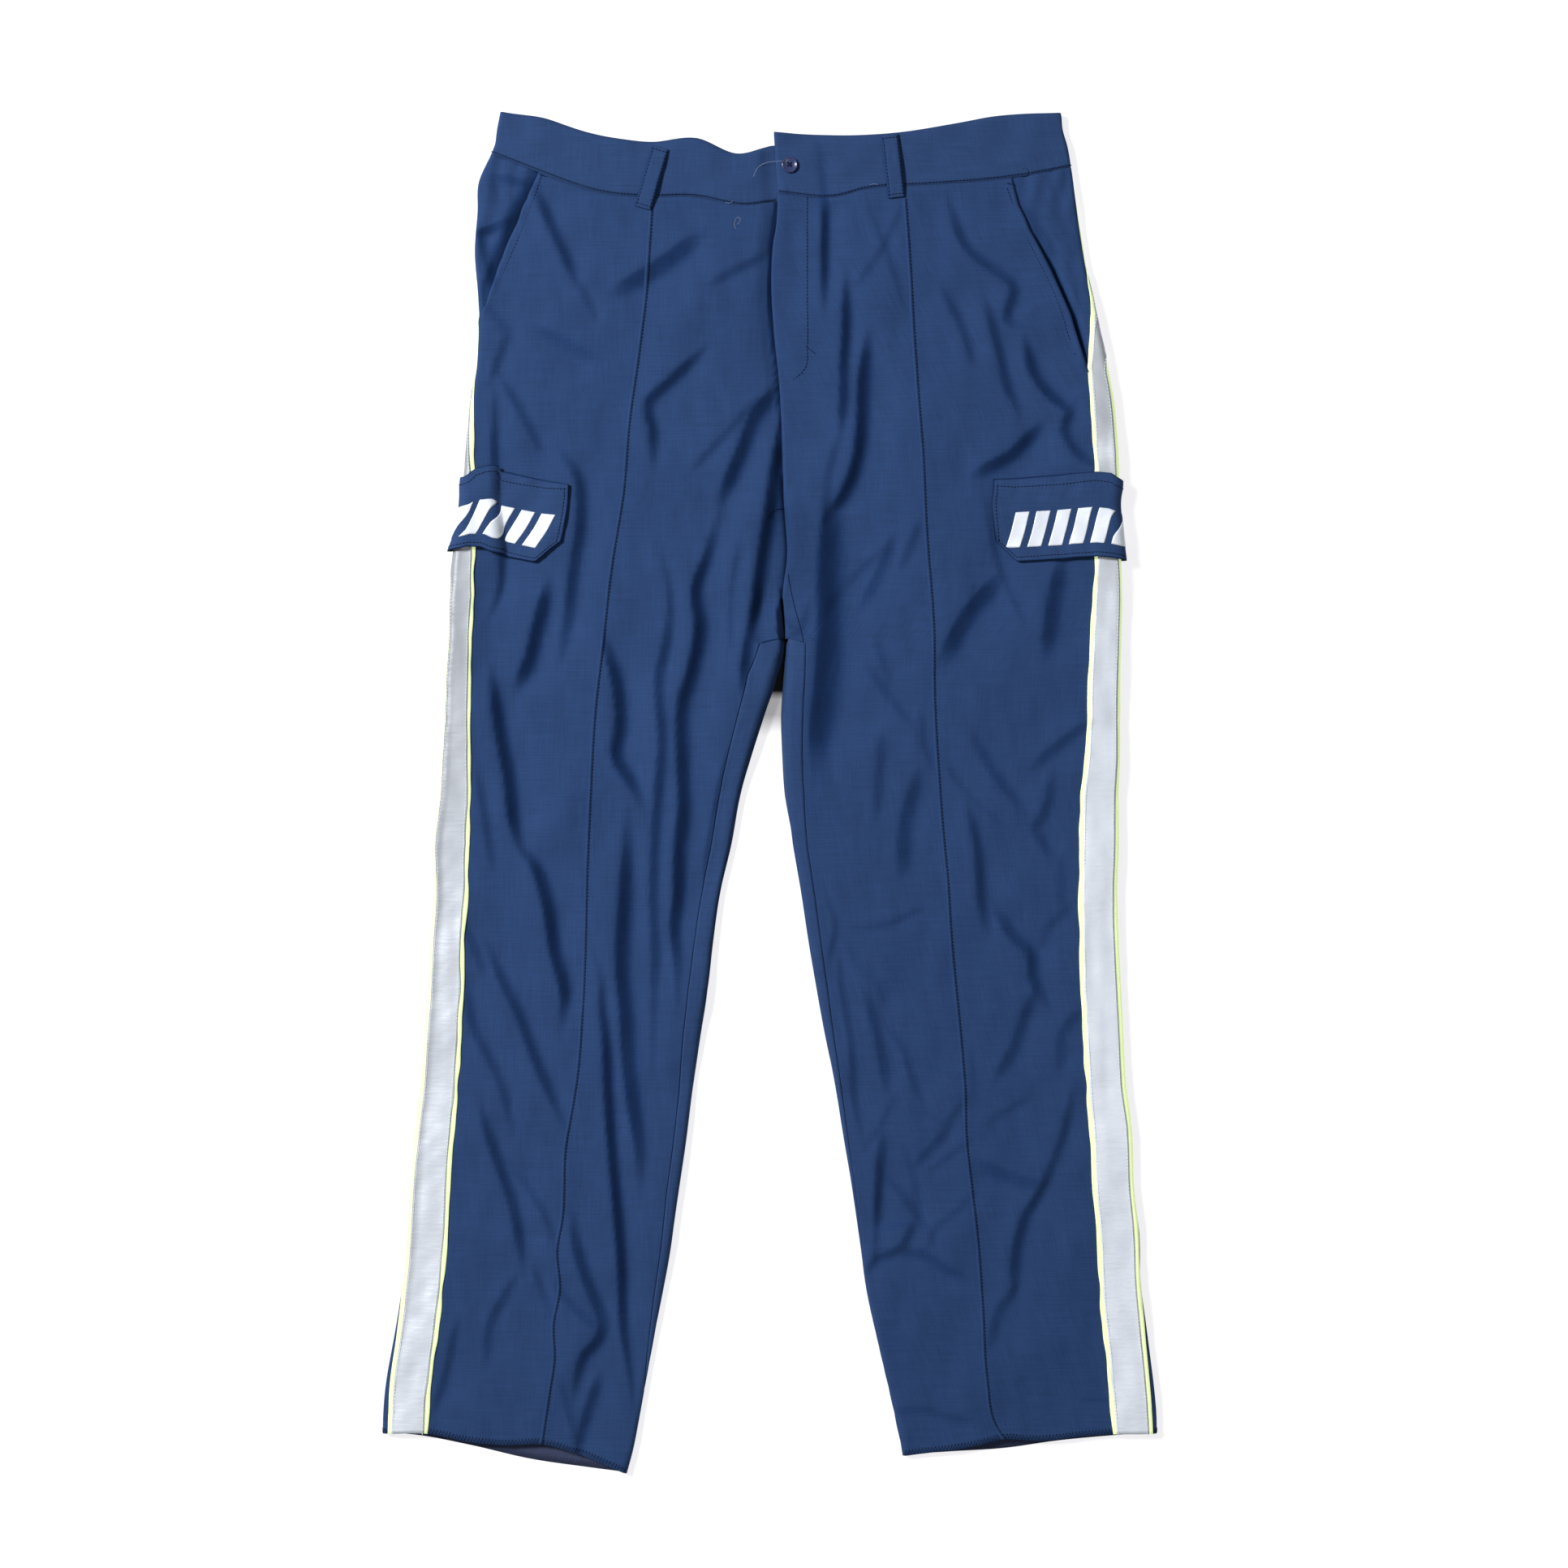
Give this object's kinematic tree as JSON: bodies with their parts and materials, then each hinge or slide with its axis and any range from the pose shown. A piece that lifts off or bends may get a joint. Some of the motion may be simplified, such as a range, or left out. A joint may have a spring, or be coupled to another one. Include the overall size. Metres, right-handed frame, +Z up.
{
  "type": "uniform trousers laid flat",
  "caption": "Uniform trousers laid flat on their back, front up, with slanted pockets, a wrap-round flap on each thigh and a silver side tape with lime edges",
  "frame": {"origin": "middle of the overall width and length, on the surface that the trousers lie on", "axes": "+Y from the hems towards the waist, +Z up from the surface, +X towards the wearer's left leg"},
  "size_m": [0.6115, 1.0758, 0.0196],
  "materials": {
    "navy_cloth": "matt plain weave",
    "silver_tape": "reflective coating",
    "lime_tape": "matt fluorescent",
    "navy_plastic": "gloss"
  },
  "bodies": {
    "root": {"waistband_right": "navy_cloth", "waistband_left": "navy_cloth", "front_right": "navy_cloth", "front_left": "navy_cloth", "back_right": "navy_cloth", "back_left": "navy_cloth", "pocket_facing_right": "navy_cloth", "pocket_facing_left": "navy_cloth", "flap_right": "navy_cloth", "flap_left": "navy_cloth", "belt_loop_right": "navy_cloth", "belt_loop_left": "navy_cloth", "tape_lime_right": "lime_tape", "tape_lime_left": "lime_tape", "tape_silver_right": "silver_tape", "tape_silver_left": "silver_tape", "button": "navy_plastic"}
  },
  "joints": []
}
